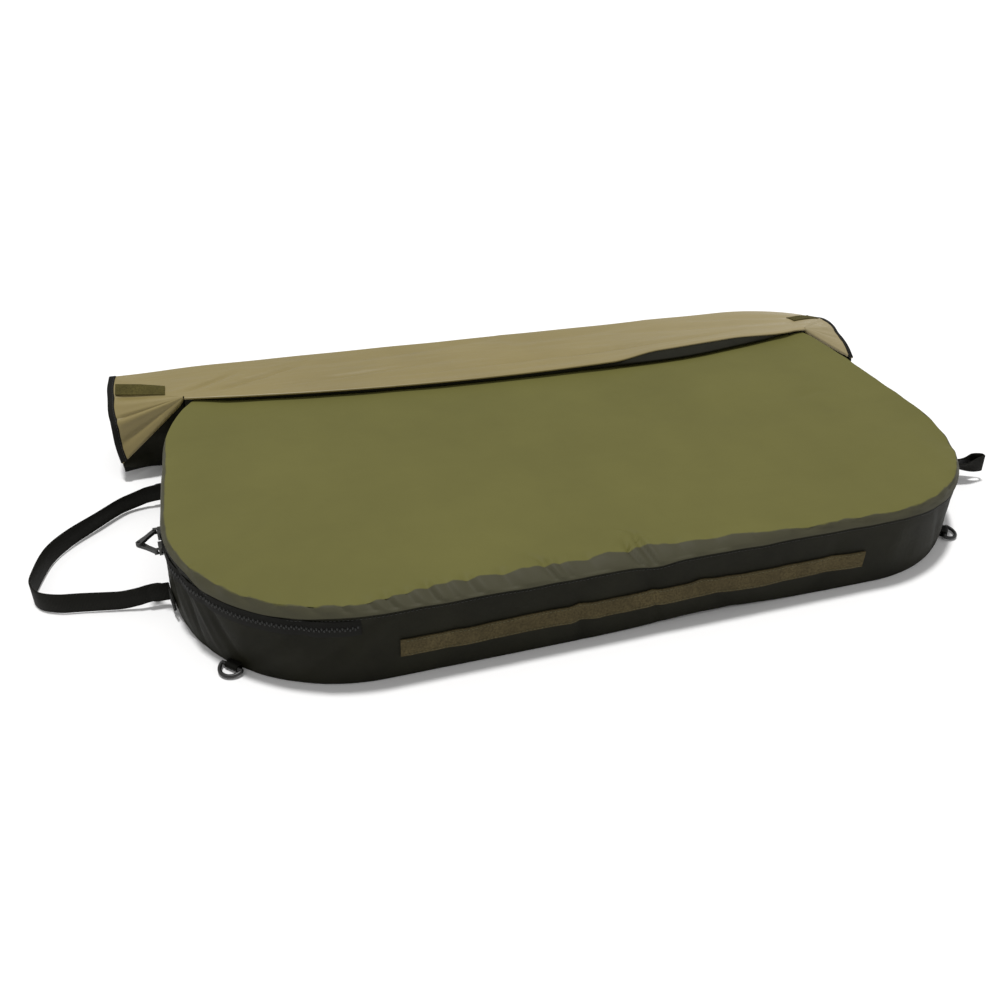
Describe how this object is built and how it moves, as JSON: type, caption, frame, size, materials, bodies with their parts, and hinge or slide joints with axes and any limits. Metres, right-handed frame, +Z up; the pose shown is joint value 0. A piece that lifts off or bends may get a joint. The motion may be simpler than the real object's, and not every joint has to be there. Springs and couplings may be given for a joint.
{
  "type": "unhooking mat",
  "caption": "Padded fish mat in a zipped fabric bag, with carry handle, corner rings and a folding cover that lies thrown back over the rear edge.",
  "frame": {"origin": "on the floor, under the middle of the mat", "axes": "+X along the mat to its right-hand end, +Y to the rear edge where the cover is sewn on, +Z up"},
  "size_m": [1.2947, 0.7688, 0.1127],
  "materials": {
    "olive_top": "coated, soft sheen",
    "black_fabric": "matt weave",
    "foam": "open-cell foam",
    "zip_tape": "matt woven tape",
    "zip_chain": "moulded chain",
    "zip_metal": "dark lacquered metal",
    "zip_pull": "moulded, matt",
    "loop_tape": "loop pile",
    "hook_tape": "fine hooks",
    "binding": "ribbed binding tape",
    "webbing": "ribbed webbing",
    "ring": "moulded plastic",
    "cover": "coated, soft sheen"
  },
  "bodies": {
    "mat": {"base_panel": "black_fabric", "side_wall": "black_fabric", "top_panel": "olive_top", "foam_core": "foam", "front_loop_strip": "loop_tape", "zip_tape": "zip_tape", "zip_chain": "zip_chain", "handle_anchor_front": "webbing", "handle_anchor_rear": "webbing", "end_tab_anchor": "webbing", "d_ring_tab_front_left": "webbing", "d_ring_tab_front_right": "webbing", "d_ring_tab_rear_left": "webbing", "d_ring_tab_rear_right": "webbing", "cover_under_layer": "cover", "under_curtain_left": "black_fabric", "under_curtain_right": "black_fabric", "curtain_binding_left": "binding", "curtain_binding_right": "binding"},
    "rear_zip_slider": {"zip_slider_rear": "zip_metal"},
    "front_zip_slider": {"zip_slider_front": "zip_metal"},
    "rear_zip_pull": {"zip_pull_rear": "zip_pull"},
    "front_zip_pull": {"zip_pull_front": "zip_pull"},
    "carry_handle": {"carry_handle": "webbing"},
    "end_tab": {"end_tab": "webbing"},
    "front_left_ring": {"d_ring_front_left": "ring"},
    "front_right_ring": {"d_ring_front_right": "ring"},
    "rear_left_ring": {"d_ring_rear_left": "ring"},
    "rear_right_ring": {"d_ring_rear_right": "ring"},
    "cover_fold_leaf": {"cover_fold_panel": "cover", "fold_binding_left": "binding", "fold_binding_right": "binding", "hook_bar_left": "hook_tape", "hook_bar_right": "hook_tape", "fold_corner_left": "cover", "fold_corner_right": "cover", "corner_binding_left": "binding", "corner_binding_right": "binding"},
    "cover_rear_leaf": {"cover_rear_drop": "cover", "rear_binding_left": "binding", "rear_binding_right": "binding"},
    "cover_floor_leaf": {"cover_floor_panel": "cover", "floor_binding_left": "binding", "floor_binding_right": "binding"},
    "cover_return_leaf": {"cover_return_panel": "cover", "return_binding_left": "binding", "return_binding_right": "binding"},
    "cover_front_leaf": {"cover_front_drop": "cover", "front_drop_binding": "binding", "front_hook_strip": "hook_tape"}
  },
  "joints": [
    {"name": "rear_zip_slide", "type": "slide", "parent": "mat", "child": "rear_zip_slider", "axis": [0, 1, 0], "range_m": [0, 0.145]},
    {"name": "front_zip_slide", "type": "hinge", "parent": "mat", "child": "front_zip_slider", "pos_m": [-0.305, -0.08, 0.078], "axis": [0, 0, 1], "range_deg": [0, 72]},
    {"name": "rear_zip_pull_swing", "type": "hinge", "parent": "rear_zip_slider", "child": "rear_zip_pull", "pos_m": [-0.5331, -0.075, 0.0816], "axis": [0, 0, 1], "range_deg": [-127, 23]},
    {"name": "front_zip_pull_swing", "type": "hinge", "parent": "front_zip_slider", "child": "front_zip_pull", "pos_m": [-0.53163, -0.10582, 0.0744], "axis": [0, 0, 1], "range_deg": [-23, 127]},
    {"name": "carry_handle_lift", "type": "hinge", "parent": "mat", "child": "carry_handle", "pos_m": [-0.5395, 0, 0.02], "axis": [0, 1, 0], "range_deg": [0, 45]},
    {"name": "end_tab_lift", "type": "hinge", "parent": "mat", "child": "end_tab", "pos_m": [0.53875, -0.11912, 0.027], "axis": [-0.165, -0.9863, 0], "range_deg": [0, 60]},
    {"name": "front_left_ring_lift", "type": "hinge", "parent": "mat", "child": "front_left_ring", "pos_m": [-0.46269, -0.23769, 0.0045], "axis": [-0.7071, 0.7071, 0], "range_deg": [0, 90]},
    {"name": "front_right_ring_lift", "type": "hinge", "parent": "mat", "child": "front_right_ring", "pos_m": [0.46269, -0.23769, 0.0045], "axis": [-0.7071, -0.7071, 0], "range_deg": [0, 90]},
    {"name": "rear_left_ring_lift", "type": "hinge", "parent": "mat", "child": "rear_left_ring", "pos_m": [-0.46269, 0.23769, 0.0045], "axis": [0.7071, 0.7071, 0], "range_deg": [0, 90]},
    {"name": "rear_right_ring_lift", "type": "hinge", "parent": "mat", "child": "rear_right_ring", "pos_m": [0.46269, 0.23769, 0.0045], "axis": [0.7071, -0.7071, 0], "range_deg": [0, 90]},
    {"name": "cover_fold", "type": "hinge", "parent": "mat", "child": "cover_fold_leaf", "pos_m": [0, 0.165, 0.109], "axis": [1, 0, 0], "range_deg": [0, 180]},
    {"name": "rear_drop_bend", "type": "hinge", "parent": "cover_fold_leaf", "child": "cover_rear_leaf", "pos_m": [0, 0.306, 0.109], "axis": [1, 0, 0], "range_deg": [0, 90]},
    {"name": "floor_leaf_bend", "type": "hinge", "parent": "cover_rear_leaf", "child": "cover_floor_leaf", "pos_m": [0, 0.306, 0.0005], "axis": [1, 0, 0], "range_deg": [-90, 0]},
    {"name": "return_leaf_fold", "type": "hinge", "parent": "cover_floor_leaf", "child": "cover_return_leaf", "pos_m": [0, 0.46675, 0.0037], "axis": [1, 0, 0], "range_deg": [-180, 0]},
    {"name": "front_drop_bend", "type": "hinge", "parent": "cover_return_leaf", "child": "cover_front_leaf", "pos_m": [0, 0.407, 0.0037], "axis": [1, 0, 0], "range_deg": [0, 90]}
  ],
  "couplings": [
    {"joint": "rear_drop_bend", "follows": "cover_fold", "ratio": 0.5},
    {"joint": "floor_leaf_bend", "follows": "cover_fold", "ratio": -0.5},
    {"joint": "return_leaf_fold", "follows": "cover_fold", "ratio": -1},
    {"joint": "front_drop_bend", "follows": "cover_fold", "ratio": 0.5}
  ]
}
